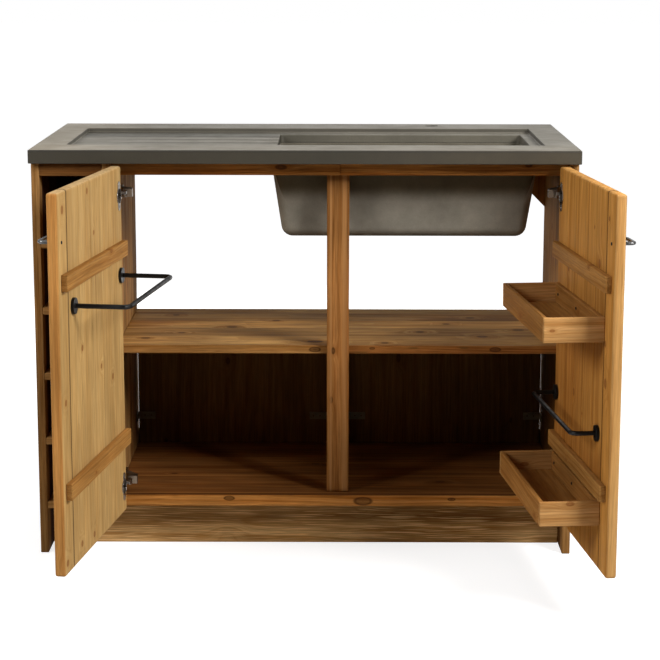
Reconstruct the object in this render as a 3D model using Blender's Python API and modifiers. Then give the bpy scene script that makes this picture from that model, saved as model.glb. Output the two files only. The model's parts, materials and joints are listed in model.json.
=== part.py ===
"""Sink base cabinet: a stone worktop with bowl and drainer on a pine carcass.

A bottle rack stands at the left. Two boarded doors hang on concealed hinges and stand open.
Metres, +Z up. X runs to the right and Y to the back. The origin is on the floor, in the
middle of the carcass width and of the kick board's thickness.
"""
import math

import bmesh
import bpy
from mathutils import Matrix, Vector

for old in list(bpy.data.objects):
    bpy.data.objects.remove(old, do_unlink=True)

# Overall
TOP_WIDTH = 1.200
TOP_DEPTH = 0.650
TOP_HEIGHT = 0.912
TOP_EDGE = 0.030
SIDE_OVERHANG = 0.0035
FRONT_OVERHANG = 0.020
CARCASS_DEPTH = 0.540
GAP = 0.0003
WOOD_EDGE = 0.0012

# Worktop
STONE_EDGE = 0.002
WET_SIDE_RIM = 0.068
WET_FRONT_RIM = 0.118
WET_BACK_RIM = 0.127
WET_DEPTH = 0.0105
WET_CORNER = 0.005
TAP_HOLE_R = 0.01725
TAP_HOLE_X = 0.301
TAP_HOLE_FROM_BACK = 0.050
GROOVE_COUNT = 4
GROOVE_PITCH = 0.072
GROOVE_START_R = 0.004
GROOVE_END_R = 0.0085
GROOVE_LIFT = 0.004
GROOVE_START_X = -0.480

# Bowl, measured inside at the worktop's underside, and its drop below that
BOWL_LEFT_X = -0.066
BOWL_RIGHT_X = 0.508
BOWL_FRONT = 0.136
BOWL_LENGTH = 0.341
BOWL_WALL = 0.014
BOWL_TAPER = 0.026
BOWL_RADIUS = 0.010
BOWL_DROP = 0.1805
DRAIN_R = 0.045
DRAIN_X = 0.221

# Carcass
SIDE_THICK = 0.018
RACK_CLEAR = 0.136
KICK_SETBACK = 0.084
KICK_THICK = 0.018
BOTTOM_Z = 0.103
BOTTOM_THICK = 0.025
RAIL_HEIGHT = 0.029
RAIL_DEPTH = 0.056
RACK_RAIL_DEPTH = 0.022
REAR_RAIL_HEIGHT = 0.079
STILE_WIDTH = 0.0495
STILE_THICK = 0.020
STILE_SETBACK = 0.0557
STILE_SHIFT = 0.0045
POST_DEPTH = 0.048
SHELF_Z = 0.4443
SHELF_THICK = 0.0185
SHELF_BACK_INSET = 0.005
BACK_THICK = 0.012
BACK_SLIT = 0.003
CLEAT_HEIGHT = 0.031
GUSSET_LEG = 0.083
RACK_SHELVES = 5
RACK_PITCH = 0.1477
RACK_SHELF_THICK = 0.016

# Angle brackets of the lower back
BRACKET_LEG = 0.044
BRACKET_SIDE_LEG = 0.032
BRACKET_WIDTH = 0.018
BRACKET_THICK = 0.0025
BRACKET_Z = 0.198
BRACKET_HOLE_R = 0.0024
BRACKET_HOLES = (0.018, 0.034)

# Doors
DOOR_SIDE_GAP = 0.002
DOOR_MEETING_GAP = 0.003
DOOR_STOP_GAP = 0.002
DOOR_THICK = 0.0225
DOOR_BELOW_BOARD = 0.0005
DOOR_BELOW_TOP = 0.0055
DOOR_EDGE = 0.0045
DOOR_BOARDS = 6
DOOR_EDGE_BOARD = 0.064
V_GROOVE_DEPTH = 0.0016
OPEN_LEFT = math.radians(98.3)
OPEN_RIGHT = math.radians(96.3)
BATTEN_FROM_HINGE = 0.0015
BATTEN_LENGTH = 0.480
BATTEN_HEIGHT = 0.034
BATTEN_THICK = 0.013
BATTEN_FROM_TOP = 0.1795
BATTEN_FROM_BOTTOM = 0.1715

# Hanging rails and handles
BAR_R = 0.005
BAR_BEND = 0.014
ROSE_R = 0.017
ROSE_THICK = 0.006
RAIL_FROM_HINGE = 0.022
RAIL_LENGTH = 0.380
RAIL_OUT = {"left": 0.115, "right": 0.054}
RAIL_BELOW_UPPER_BATTEN = 0.058
RAIL_ABOVE_LOWER_BATTEN = 0.106
HANDLE_R = 0.004
HANDLE_BEND = 0.009
HANDLE_FOOT_R = 0.007
HANDLE_FOOT_THICK = 0.003
HANDLE_OUT = 0.025
HANDLE_SPAN = 0.064
HANDLE_FROM_FREE_EDGE = 0.028
HANDLE_FROM_TOP = 0.0995

# Trays on the right door
TRAY_FROM_HINGE = 0.016
TRAY_LENGTH = 0.422
TRAY_DEPTH = 0.124
TRAY_HEIGHT = 0.051
TRAY_BOARD = 0.0095
TRAY_BELOW_BATTEN = {"upper": 0.055, "lower": 0.0095}

# Concealed hinges, in a frame on the hinge line: u along the shut door, v into the cabinet
HINGE_FROM_TOP = 0.0635
HINGE_FROM_BOTTOM = 0.0595
CUP_U = 0.0225
CUP_BORE_R = 0.0175
CUP_BORE_DEPTH = 0.012
CUP_WALL = 0.0012
FLANGE_THICK = 0.0015
FLANGE_HALF_HEIGHT = 0.032
FLANGE_WIDTH = 0.017
ARM_HALF_HEIGHT = 0.009
ARM_NEAR_U = 0.0225
ARM_FAR_U = 0.0425
ARM_FRONT_V = 0.031
ARM_CRANK_V = 0.050
ARM_BACK_V = 0.108
ARM_LOW_U = 0.016
NOSE_TIP_V = 0.0165
NOSE_LOW = -0.008
NOSE_HIGH = 0.0016
PLATE_THICK = 0.0035
PLATE_HALF_HEIGHT = 0.020
PLATE_FRONT_V = 0.056
LINK_INNER_R = 0.0325
LINK_OUTER_R = 0.0345
LINK_HOOK_R = 0.0262
LINK_FROM_DEG = 30.0
LINK_TO_DEG = 90.0
LINK_HOOK_DEG = 5.0
LINK_LOW = 0.002
LINK_HIGH = 0.008
LINK_SHARE = 0.6

# Levels and planes that follow from the sizes above
CARCASS_HALF = TOP_WIDTH / 2 - SIDE_OVERHANG
FRONT_Y = -(KICK_SETBACK + KICK_THICK / 2)
BACK_Y = FRONT_Y + CARCASS_DEPTH
TOP_FRONT_Y = FRONT_Y - FRONT_OVERHANG
TOP_BACK_Y = TOP_FRONT_Y + TOP_DEPTH
TOP_UNDER_Z = TOP_HEIGHT - TOP_EDGE
WET_FLOOR_Z = TOP_HEIGHT - WET_DEPTH
INNER_X = CARCASS_HALF - SIDE_THICK
PARTITION_LEFT_X = -INNER_X + RACK_CLEAR
PARTITION_RIGHT_X = PARTITION_LEFT_X + SIDE_THICK
OPENING = INNER_X - PARTITION_RIGHT_X
DOOR_WIDTH = (OPENING - 2 * DOOR_SIDE_GAP - DOOR_MEETING_GAP) / 2
MEETING_X = (INNER_X + PARTITION_RIGHT_X) / 2
STOP_Y = FRONT_Y + DOOR_THICK + DOOR_STOP_GAP
FLOOR_BOARD_Z = BOTTOM_Z + BOTTOM_THICK
CARCASS_TOP_Z = TOP_UNDER_Z - GAP
RAIL_UNDER_Z = TOP_UNDER_Z - RAIL_HEIGHT
CLEAT_FRONT_Y = BACK_Y - SIDE_THICK
BACK_FACE_Y = CLEAT_FRONT_Y - GAP - BACK_THICK
STILE_X = (MEETING_X - STILE_SHIFT - STILE_WIDTH / 2, MEETING_X - STILE_SHIFT + STILE_WIDTH / 2)
STILE_FRONT_Y = FRONT_Y + STILE_SETBACK
BOWL_FRONT_Y = TOP_FRONT_Y + BOWL_FRONT
BOWL_BACK_Y = BOWL_FRONT_Y + BOWL_LENGTH
BOWL_BOTTOM_Z = TOP_UNDER_Z - BOWL_DROP
DOOR_BOTTOM_Z = BOTTOM_Z - DOOR_BELOW_BOARD
DOOR_TOP_Z = TOP_UNDER_Z - DOOR_BELOW_TOP
HINGE_Z = {"top": DOOR_TOP_Z - HINGE_FROM_TOP, "bottom": DOOR_BOTTOM_Z + HINGE_FROM_BOTTOM}
BATTEN_Z = {"upper": DOOR_TOP_Z - BATTEN_FROM_TOP, "lower": DOOR_BOTTOM_Z + BATTEN_FROM_BOTTOM}
RAIL_Z = {
    "left": BATTEN_Z["upper"] - RAIL_BELOW_UPPER_BATTEN,
    "right": BATTEN_Z["lower"] + RAIL_ABOVE_LOWER_BATTEN,
}
HANDLE_Z = DOOR_TOP_Z - HANDLE_FROM_TOP
TRAY_TOP_Z = {level: z - BATTEN_HEIGHT / 2 - TRAY_BELOW_BATTEN[level] for level, z in BATTEN_Z.items()}

parts = bpy.data.collections.new("sink_base_cabinet")
cutters = bpy.data.collections.new("cutters")
bpy.context.scene.collection.children.link(parts)
bpy.context.scene.collection.children.link(cutters)


def material(name, colour, roughness, metallic=0.0):
    """A plain Principled surface."""
    made = bpy.data.materials.new(name)
    made.use_nodes = True
    shader = made.node_tree.nodes["Principled BSDF"]
    shader.inputs["Base Color"].default_value = (*colour, 1.0)
    shader.inputs["Roughness"].default_value = roughness
    shader.inputs["Metallic"].default_value = metallic
    return made


STONE = material("grey_stone", (0.29, 0.27, 0.25), 0.75)
CARCASS = material("carcass_pine", (0.36, 0.20, 0.08), 0.55)
DOOR = material("door_pine", (0.50, 0.31, 0.12), 0.50)
IRON = material("black_iron", (0.03, 0.03, 0.03), 0.45, 0.8)
STEEL = material("hinge_steel", (0.55, 0.54, 0.52), 0.35, 1.0)


def add_object(name, mesh, finish, location=(0, 0, 0), parent=None):
    """Put a mesh in the parts collection."""
    obj = bpy.data.objects.new(name, mesh)
    obj.location = location
    obj.parent = parent
    mesh.materials.append(finish)
    parts.objects.link(obj)
    return obj


def add_cutter(name, mesh, location=(0, 0, 0), parent=None):
    """Put a mesh among the tools that cut or extend a part."""
    obj = bpy.data.objects.new(name, mesh)
    obj.location = location
    obj.parent = parent
    obj.hide_render = True
    obj.display_type = "WIRE"
    cutters.objects.link(obj)
    return obj


def combine(target, tool, operation):
    """Cut a tool out of a part, or join it on."""
    boolean = target.modifiers.new(tool.name, "BOOLEAN")
    boolean.operation = operation
    boolean.solver = "EXACT"
    boolean.object = tool


def empty(name, location, turn=0.0):
    """A carrier on a hinge line, turned about it."""
    carrier = bpy.data.objects.new(name, None)
    carrier.location = location
    carrier.rotation_euler = (0, 0, turn)
    parts.objects.link(carrier)
    return carrier


def box_mesh(name, size):
    """A box about its own middle."""
    bm = bmesh.new()
    bmesh.ops.create_cube(bm, size=1.0)
    bmesh.ops.scale(bm, vec=size, verts=bm.verts)
    mesh = bpy.data.meshes.new(name)
    bm.to_mesh(mesh)
    bm.free()
    return mesh


def board(name, x, y, z, finish, parent=None, edge=WOOD_EDGE, rounds=1):
    """A square-edged board between pairs of limits, with its edges eased."""
    low = Vector((min(x), min(y), min(z)))
    high = Vector((max(x), max(y), max(z)))
    obj = add_object(name, box_mesh(name, high - low), finish, (low + high) / 2, parent)
    bevel = obj.modifiers.new("eased edges", "BEVEL")
    bevel.width = edge
    bevel.segments = rounds
    bevel.limit_method = "NONE"
    return obj


def cone_mesh(name, start_r, end_r, length, axis, segments=24):
    """A cylinder or cone about its own middle, along X, Y or Z."""
    bm = bmesh.new()
    bmesh.ops.create_cone(bm, cap_ends=True, segments=segments, radius1=start_r, radius2=end_r, depth=length)
    turns = {"X": Matrix.Rotation(math.pi / 2, 3, "Y"), "Y": Matrix.Rotation(-math.pi / 2, 3, "X")}
    if axis in turns:
        bmesh.ops.rotate(bm, cent=(0, 0, 0), matrix=turns[axis], verts=bm.verts)
    mesh = bpy.data.meshes.new(name)
    bm.to_mesh(mesh)
    bm.free()
    mesh.shade_smooth()
    mesh.set_sharp_from_angle(angle=math.radians(40))
    return mesh


def curve_to_mesh(name, curve):
    """The solid that a curve sweeps or fills, with its caps welded on."""
    obj = bpy.data.objects.new(name, curve)
    cutters.objects.link(obj)
    bpy.context.view_layer.update()
    mesh = bpy.data.meshes.new_from_object(obj.evaluated_get(bpy.context.evaluated_depsgraph_get()))
    bpy.data.objects.remove(obj, do_unlink=True)
    bpy.data.curves.remove(curve)
    bm = bmesh.new()
    bm.from_mesh(mesh)
    bmesh.ops.remove_doubles(bm, verts=bm.verts, dist=1e-5)
    bmesh.ops.recalc_face_normals(bm, faces=bm.faces)
    bm.to_mesh(mesh)
    bm.free()
    mesh.materials.clear()
    mesh.name = name
    return mesh


def poly_spline(curve, points, closed):
    """Straight runs through the points."""
    spline = curve.splines.new("POLY")
    spline.points.add(len(points) - 1)
    for spot, point in zip(spline.points, points):
        spot.co = (*point, 1.0)
    spline.use_cyclic_u = closed


def outline_mesh(name, outline, low, high):
    """A flat outline in X and Y, solid between two heights."""
    curve = bpy.data.curves.new(name, "CURVE")
    curve.dimensions = "2D"
    curve.fill_mode = "BOTH"
    curve.extrude = (high - low) / 2
    poly_spline(curve, [(x, y, 0.0) for x, y in outline], True)
    mesh = curve_to_mesh(name, curve)
    mesh.transform(Matrix.Translation((0, 0, (low + high) / 2)))
    return mesh


def bar_mesh(name, points, radius):
    """A round bar along a run of points."""
    curve = bpy.data.curves.new(name, "CURVE")
    curve.dimensions = "3D"
    curve.bevel_depth = radius
    curve.bevel_resolution = 2
    curve.use_fill_caps = True
    poly_spline(curve, points, False)
    mesh = curve_to_mesh(name, curve)
    mesh.shade_smooth()
    mesh.set_sharp_from_angle(angle=math.radians(50))
    return mesh


def arc(centre, radius, start_deg, end_deg, steps):
    """Points along an arc in X and Y."""
    points = []
    for i in range(steps + 1):
        angle = math.radians(start_deg + (end_deg - start_deg) * i / steps)
        points.append((centre[0] + radius * math.cos(angle), centre[1] + radius * math.sin(angle)))
    return points


def rounded_rectangle(x, y, radius, steps=5):
    """A rectangle between limits, with round corners."""
    corners = (
        (x[1] - radius, y[1] - radius, 0),
        (x[0] + radius, y[1] - radius, 90),
        (x[0] + radius, y[0] + radius, 180),
        (x[1] - radius, y[0] + radius, 270),
    )
    return [p for cx, cy, turn in corners for p in arc((cx, cy), radius, turn, turn + 90, steps)]


def bow_points(near_u, far_u, root_v, out_v, height, bend, side, steps=4):
    """A bar that leaves a face, runs along it and comes back, with round bends."""
    away = math.copysign(1.0, out_v - root_v)
    first = arc((near_u + bend, out_v - away * bend), bend, 180, 180 - away * 90, steps)
    last = arc((far_u - bend, out_v - away * bend), bend, away * 90, 0, steps)
    flat = [(near_u, root_v), *first, *last, (far_u, root_v)]
    return [(side * u, v, height) for u, v in flat]


def make_worktop():
    """A slab with a sunk wet area, drainer grooves, bowl opening and tap hole."""
    size = (TOP_WIDTH, TOP_DEPTH, TOP_EDGE)
    middle = (0.0, (TOP_FRONT_Y + TOP_BACK_Y) / 2, TOP_HEIGHT - TOP_EDGE / 2)
    slab = add_object("worktop", box_mesh("worktop", size), STONE, middle)
    bevel = slab.modifiers.new("rounded edges", "BEVEL")
    bevel.width = STONE_EDGE
    bevel.segments = 2
    bevel.limit_method = "NONE"
    above = TOP_HEIGHT + TOP_EDGE
    below = TOP_UNDER_Z - TOP_EDGE
    wet_x = (-TOP_WIDTH / 2 + WET_SIDE_RIM, TOP_WIDTH / 2 - WET_SIDE_RIM)
    wet_y = (TOP_FRONT_Y + WET_FRONT_RIM, TOP_BACK_Y - WET_BACK_RIM)
    wet = outline_mesh("wet_area", rounded_rectangle(wet_x, wet_y, WET_CORNER), WET_FLOOR_Z, above)
    combine(slab, add_cutter("wet_area", wet), "DIFFERENCE")
    bowl_outline = rounded_rectangle((BOWL_LEFT_X, BOWL_RIGHT_X), (BOWL_FRONT_Y, BOWL_BACK_Y), BOWL_RADIUS)
    opening = outline_mesh("bowl_opening", bowl_outline, below, above)
    combine(slab, add_cutter("bowl_opening", opening), "DIFFERENCE")
    tap = cone_mesh("tap_hole", TAP_HOLE_R, TAP_HOLE_R, 3 * TOP_EDGE, "Z")
    tap_at = (TAP_HOLE_X, TOP_BACK_Y - TAP_HOLE_FROM_BACK, TOP_HEIGHT)
    combine(slab, add_cutter("tap_hole", tap, tap_at), "DIFFERENCE")
    run = BOWL_LEFT_X + BOWL_RADIUS - GROOVE_START_X
    first_y = (BOWL_FRONT_Y + BOWL_BACK_Y - (GROOVE_COUNT - 1) * GROOVE_PITCH) / 2
    for i in range(GROOVE_COUNT):
        name = f"drainer_groove_{i + 1}"
        groove = cone_mesh(name, GROOVE_START_R, GROOVE_END_R, run, "X", 16)
        groove_at = (GROOVE_START_X + run / 2, first_y + i * GROOVE_PITCH, WET_FLOOR_Z + GROOVE_LIFT)
        combine(slab, add_cutter(name, groove, groove_at), "DIFFERENCE")


def make_bowl():
    """A tapered shell, round in its corners, with a flat rim and a drain hole."""
    surplus = 0.010
    inner_top = TOP_UNDER_Z + surplus
    inner_bottom = BOWL_BOTTOM_Z + BOWL_WALL
    depth = inner_top - inner_bottom
    width = BOWL_RIGHT_X - BOWL_LEFT_X
    bm = bmesh.new()
    bmesh.ops.create_cube(bm, size=1.0)
    bmesh.ops.scale(bm, vec=(width, BOWL_LENGTH, depth), verts=bm.verts)
    for vert in bm.verts:
        if vert.co.z < 0:
            vert.co.x -= math.copysign(BOWL_TAPER, vert.co.x)
            vert.co.y -= math.copysign(BOWL_TAPER, vert.co.y)
    lid = max(bm.faces, key=lambda face: face.calc_center_median().z)
    bmesh.ops.delete(bm, geom=[lid], context="FACES_ONLY")
    mesh = bpy.data.meshes.new("sink_bowl")
    bm.to_mesh(mesh)
    bm.free()
    mesh.shade_smooth()
    middle = (
        (BOWL_LEFT_X + BOWL_RIGHT_X) / 2,
        (BOWL_FRONT_Y + BOWL_BACK_Y) / 2,
        (inner_top + inner_bottom) / 2,
    )
    bowl = add_object("sink_bowl", mesh, STONE, middle)
    bevel = bowl.modifiers.new("round corners", "BEVEL")
    bevel.width = BOWL_RADIUS
    bevel.segments = 5
    bevel.limit_method = "NONE"
    shell = bowl.modifiers.new("wall", "SOLIDIFY")
    shell.thickness = BOWL_WALL
    shell.offset = 1.0
    shell.use_even_offset = True
    trim = box_mesh("bowl_rim", (TOP_WIDTH, TOP_DEPTH, 2 * TOP_EDGE))
    trim_at = (middle[0], middle[1], CARCASS_TOP_Z + TOP_EDGE)
    combine(bowl, add_cutter("bowl_rim", trim, trim_at), "DIFFERENCE")
    drain = cone_mesh("drain_hole", DRAIN_R, DRAIN_R, 4 * BOWL_WALL, "Z", 32)
    combine(bowl, add_cutter("drain_hole", drain, (DRAIN_X, middle[1], BOWL_BOTTOM_Z)), "DIFFERENCE")


def make_carcass():
    """Sides, partition, rails, boards and the lower back."""
    depth = (FRONT_Y, BACK_Y)
    sides = (0.0, CARCASS_TOP_Z)
    between = (PARTITION_RIGHT_X + GAP, INNER_X - GAP)
    board("side_panel_left", (-CARCASS_HALF, -INNER_X), depth, sides, CARCASS)
    board("side_panel_right", (INNER_X, CARCASS_HALF), depth, sides, CARCASS)
    board("rack_partition", (PARTITION_LEFT_X, PARTITION_RIGHT_X), depth, (BOTTOM_Z, CARCASS_TOP_Z), CARCASS)
    kick_y = (-KICK_THICK / 2, KICK_THICK / 2)
    board("kick_board", (-INNER_X + GAP, INNER_X - GAP), kick_y, (0.0, BOTTOM_Z - GAP), CARCASS)
    board("bottom_board", between, (STOP_Y, BACK_Y), (BOTTOM_Z, FLOOR_BOARD_Z), CARCASS)
    rail_y = (STOP_Y, STOP_Y + RAIL_DEPTH)
    rail_z = (RAIL_UNDER_Z, CARCASS_TOP_Z)
    board("top_rail_front_left", (between[0], MEETING_X - GAP / 2), rail_y, rail_z, CARCASS)
    board("top_rail_front_right", (MEETING_X + GAP / 2, between[1]), rail_y, rail_z, CARCASS)
    rear_y = (CLEAT_FRONT_Y, BACK_Y)
    rear_under_z = TOP_UNDER_Z - REAR_RAIL_HEIGHT
    board("top_rail_rear", between, rear_y, (rear_under_z, CARCASS_TOP_Z), CARCASS)
    stile_z = (FLOOR_BOARD_Z + GAP, RAIL_UNDER_Z - GAP)
    board("centre_stile", STILE_X, (STILE_FRONT_Y, STILE_FRONT_Y + STILE_THICK), stile_z, CARCASS)
    shelf_y = (STILE_FRONT_Y + STILE_THICK + GAP, BACK_Y - SHELF_BACK_INSET)
    board("middle_shelf", between, shelf_y, (SHELF_Z, SHELF_Z + SHELF_THICK), CARCASS)
    back_z = (FLOOR_BOARD_Z + GAP, SHELF_Z - GAP)
    post_y = (CLEAT_FRONT_Y - GAP - POST_DEPTH, CLEAT_FRONT_Y - GAP)
    board("rear_post", STILE_X, post_y, back_z, CARCASS)
    back_y = (BACK_FACE_Y, BACK_FACE_Y + BACK_THICK)
    left_back = (PARTITION_RIGHT_X + BACK_SLIT, STILE_X[0] - GAP)
    right_back = (STILE_X[1] + BACK_SLIT, INNER_X - BACK_SLIT)
    board("back_panel_left", left_back, back_y, back_z, CARCASS)
    board("back_panel_right", right_back, back_y, back_z, CARCASS)
    board("back_cleat", between, rear_y, (back_z[0], FLOOR_BOARD_Z + CLEAT_HEIGHT), CARCASS)
    gusset_top = rear_under_z - GAP
    corner = (INNER_X - GAP, gusset_top)
    triangle = [corner, (corner[0] - GUSSET_LEG, gusset_top), (corner[0], gusset_top - GUSSET_LEG)]
    gusset = outline_mesh("corner_gusset", triangle, -BACK_Y, -CLEAT_FRONT_Y)
    gusset.transform(Matrix.Rotation(math.pi / 2, 4, "X"))
    add_object("corner_gusset", gusset, CARCASS)


def make_rack():
    """Five shelves between the left side and the partition, with a back and a top rail."""
    width = (-INNER_X + GAP, PARTITION_LEFT_X - GAP)
    back_y = (BACK_Y - BACK_THICK, BACK_Y)
    board("rack_back", width, back_y, (BOTTOM_Z, CARCASS_TOP_Z), CARCASS)
    rail_z = (RAIL_UNDER_Z, CARCASS_TOP_Z)
    board("rack_top_rail", width, (FRONT_Y, FRONT_Y + RACK_RAIL_DEPTH), rail_z, CARCASS)
    for i in range(RACK_SHELVES):
        base = BOTTOM_Z + i * RACK_PITCH
        shelf_z = (base, base + RACK_SHELF_THICK)
        board(f"rack_shelf_{i + 1}", width, (FRONT_Y, back_y[0] - GAP), shelf_z, CARCASS)


def make_bracket(number, face_x, reach):
    """An angle bracket in the corner between an upright face and a lower back panel."""
    name = f"back_bracket_{number}"
    x0 = face_x + reach * GAP
    y0 = BACK_FACE_Y - GAP
    far_x = x0 + reach * BRACKET_LEG
    near_y = y0 - BRACKET_SIDE_LEG
    angle = [
        (x0, y0),
        (far_x, y0),
        (far_x, y0 - BRACKET_THICK),
        (x0 + reach * BRACKET_THICK, y0 - BRACKET_THICK),
        (x0 + reach * BRACKET_THICK, near_y),
        (x0, near_y),
    ]
    low = BRACKET_Z - BRACKET_WIDTH / 2
    bracket = add_object(name, outline_mesh(name, angle, low, low + BRACKET_WIDTH), STEEL)
    for i, along in enumerate(BRACKET_HOLES):
        hole = cone_mesh(f"{name}_hole_{i}", BRACKET_HOLE_R, BRACKET_HOLE_R, 4 * BRACKET_THICK, "Y", 12)
        at = (x0 + reach * along, y0 - BRACKET_THICK / 2, BRACKET_Z)
        combine(bracket, add_cutter(f"{name}_hole_{i}", hole, at), "DIFFERENCE")


def v_groove_mesh(name, side):
    """Square bars on edge along every joint between boards, on both faces of a door."""
    middle_z = (DOOR_BOTTOM_Z + DOOR_TOP_Z) / 2
    bar = V_GROOVE_DEPTH * math.sqrt(2)
    size = Matrix.Diagonal((bar, bar, 2 * (DOOR_TOP_Z - DOOR_BOTTOM_Z), 1.0))
    on_edge = Matrix.Rotation(math.pi / 4, 4, "Z")
    pitch = (DOOR_WIDTH - DOOR_EDGE_BOARD) / (DOOR_BOARDS - 1)
    bm = bmesh.new()
    for i in range(1, DOOR_BOARDS):
        for v in (0.0, DOOR_THICK):
            spot = Matrix.Translation((side * i * pitch, v, middle_z))
            bmesh.ops.create_cube(bm, size=1.0, matrix=spot @ on_edge @ size)
    mesh = bpy.data.meshes.new(name)
    bm.to_mesh(mesh)
    bm.free()
    return mesh


def make_door(label, side, carrier):
    """A boarded door with two battens, bored for its hinge cups."""
    name = f"door_{label}"
    door_u = (0.0, side * DOOR_WIDTH)
    door_v = (0.0, DOOR_THICK)
    door_z = (DOOR_BOTTOM_Z, DOOR_TOP_Z)
    door = board(name, door_u, door_v, door_z, DOOR, carrier, DOOR_EDGE, rounds=2)
    grooves = add_cutter(f"{name}_grooves", v_groove_mesh(f"{name}_grooves", side), parent=carrier)
    combine(door, grooves, "DIFFERENCE")
    for level, height in HINGE_Z.items():
        bore_name = f"{name}_bore_{level}"
        bore = cone_mesh(bore_name, CUP_BORE_R, CUP_BORE_R, 2 * CUP_BORE_DEPTH, "Y", 28)
        combine(door, add_cutter(bore_name, bore, (side * CUP_U, DOOR_THICK, height), carrier), "DIFFERENCE")
    inner = DOOR_THICK + GAP
    batten_u = (side * BATTEN_FROM_HINGE, side * (BATTEN_FROM_HINGE + BATTEN_LENGTH))
    for level, height in BATTEN_Z.items():
        batten_z = (height - BATTEN_HEIGHT / 2, height + BATTEN_HEIGHT / 2)
        batten_v = (inner, inner + BATTEN_THICK)
        board(f"batten_{label}_{level}", batten_u, batten_v, batten_z, DOOR, carrier)


def make_bow(name, near_u, far_u, root_v, out_v, height, bar_r, bend, foot_r, foot_thick, side, carrier):
    """A bent bar with a round foot at each end, standing on a door face."""
    away = math.copysign(1.0, out_v - root_v)
    inside = root_v + away * foot_thick / 2
    path = bow_points(near_u, far_u, inside, out_v, height, bend, side)
    bow = add_object(name, bar_mesh(name, path, bar_r), IRON, parent=carrier)
    for i, u in enumerate((near_u, far_u)):
        foot_name = f"{name}_foot_{i}"
        foot = cone_mesh(foot_name, foot_r, foot_r, foot_thick, "Y", 20)
        combine(bow, add_cutter(foot_name, foot, (side * u, inside, height), carrier), "UNION")


def make_door_metal(label, side, carrier):
    """The hanging rail inside a door and the bow handle outside."""
    face = DOOR_THICK + GAP
    rail_end = RAIL_FROM_HINGE + RAIL_LENGTH
    rail_size = (BAR_R, BAR_BEND, ROSE_R, ROSE_THICK)
    out = DOOR_THICK + RAIL_OUT[label]
    make_bow(f"rail_{label}", RAIL_FROM_HINGE, rail_end, face, out, RAIL_Z[label], *rail_size, side, carrier)
    far = DOOR_WIDTH - HANDLE_FROM_FREE_EDGE
    handle_size = (HANDLE_R, HANDLE_BEND, HANDLE_FOOT_R, HANDLE_FOOT_THICK)
    make_bow(f"handle_{label}", far - HANDLE_SPAN, far, -GAP, -HANDLE_OUT, HANDLE_Z, *handle_size, side, carrier)


def make_tray(level, side, carrier):
    """An open tray of five boards against the inner face of a door."""
    base = TRAY_TOP_Z[level] - TRAY_HEIGHT
    tall = (base, TRAY_TOP_Z[level])
    near_u = TRAY_FROM_HINGE
    far_u = TRAY_FROM_HINGE + TRAY_LENGTH
    back_v = DOOR_THICK + GAP
    front_v = back_v + TRAY_DEPTH
    span_v = (back_v + TRAY_BOARD + GAP, front_v - TRAY_BOARD - GAP)
    name = f"tray_{level}"
    hinge_end = (side * near_u, side * (near_u + TRAY_BOARD))
    free_end = (side * (far_u - TRAY_BOARD), side * far_u)
    inside = (side * (near_u + TRAY_BOARD + GAP), side * (far_u - TRAY_BOARD - GAP))
    board(f"{name}_back", inside, (back_v, back_v + TRAY_BOARD), tall, DOOR, carrier)
    board(f"{name}_front", inside, (front_v - TRAY_BOARD, front_v), tall, DOOR, carrier)
    board(f"{name}_end_hinge", hinge_end, (back_v, front_v), tall, DOOR, carrier)
    board(f"{name}_end_free", free_end, (back_v, front_v), tall, DOOR, carrier)
    board(f"{name}_bottom", inside, span_v, (base, base + TRAY_BOARD), DOOR, carrier)


def make_hinge_cup(name, side, height, carrier):
    """A pressed cup in the door's bore, with a screw flange on the door's face."""
    face = DOOR_THICK + GAP
    half = FLANGE_WIDTH / 2
    reach = FLANGE_HALF_HEIGHT - half
    ends = arc((side * CUP_U, height + reach), half, 0, 180, 6)
    ends += arc((side * CUP_U, height - reach), half, 180, 360, 6)
    flange = outline_mesh(name, ends, -face - FLANGE_THICK, -face)
    flange.transform(Matrix.Rotation(math.pi / 2, 4, "X"))
    cup = add_object(name, flange, STEEL, parent=carrier)
    outer_r = CUP_BORE_R - GAP
    inner_r = outer_r - CUP_WALL
    floor_v = DOOR_THICK - CUP_BORE_DEPTH + GAP
    top_v = face + FLANGE_THICK
    wall = cone_mesh(f"{name}_wall", outer_r, outer_r, top_v - floor_v, "Y", 28)
    wall_at = (side * CUP_U, (top_v + floor_v) / 2, height)
    combine(cup, add_cutter(f"{name}_wall", wall, wall_at, carrier), "UNION")
    hollow = cone_mesh(f"{name}_hollow", inner_r, inner_r, 2 * (top_v - floor_v - CUP_WALL), "Y", 28)
    combine(cup, add_cutter(f"{name}_hollow", hollow, (side * CUP_U, top_v, height), carrier), "DIFFERENCE")


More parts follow.
